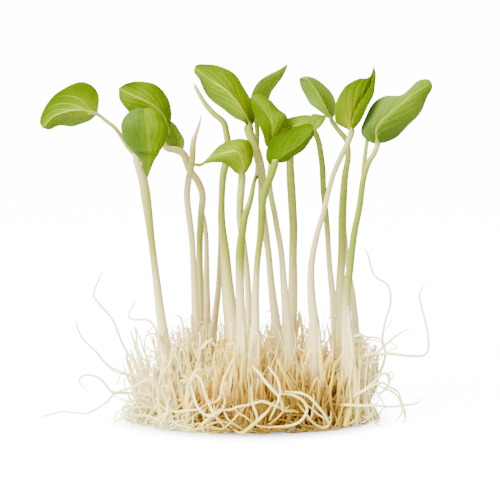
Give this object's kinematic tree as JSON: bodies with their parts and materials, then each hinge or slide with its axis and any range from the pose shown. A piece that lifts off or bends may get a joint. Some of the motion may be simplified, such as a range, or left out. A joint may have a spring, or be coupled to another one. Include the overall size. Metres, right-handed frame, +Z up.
{
  "type": "mung bean sprout clump",
  "caption": "Clump of mung bean sprouts: slender pale stems with folded green first leaves, standing on a flat mat of tangled roots.",
  "frame": {"origin": "on the surface it stands on, under the middle of the clump's box", "axes": "+Z up along the stems, +X along the clump's width, -Y towards its front, as the picture sees it"},
  "size_m": [0.1167, 0.0531, 0.1071],
  "materials": {
    "roots": "matte",
    "stem": "satin",
    "leaf": "satin"
  },
  "bodies": {
    "root": {"root_mat": "roots", "sprout_01_stem": "stem", "sprout_02_stem": "stem", "sprout_03_stem": "stem", "sprout_04_stem": "stem", "sprout_05_stem": "stem", "sprout_06_stem": "stem", "sprout_07_stem": "stem", "sprout_08_stem": "stem", "sprout_09_stem": "stem", "sprout_10_stem": "stem", "sprout_11_stem": "stem", "sprout_12_stem": "stem", "sprout_13_stem": "stem", "sprout_14_stem": "stem", "sprout_15_stem": "stem", "sprout_16_stem": "stem", "sprout_17_stem": "stem", "sprout_18_stem": "stem", "sprout_01_leaves": "leaf", "sprout_03_leaves": "leaf", "sprout_08_leaves": "leaf", "sprout_09_leaves": "leaf", "sprout_10_leaves": "leaf", "sprout_11_leaves": "leaf", "sprout_12_leaves": "leaf", "sprout_13_leaves": "leaf", "sprout_14_leaves": "leaf", "sprout_15_leaves": "leaf", "sprout_16_leaves": "leaf", "sprout_17_leaves": "leaf"}
  },
  "joints": []
}
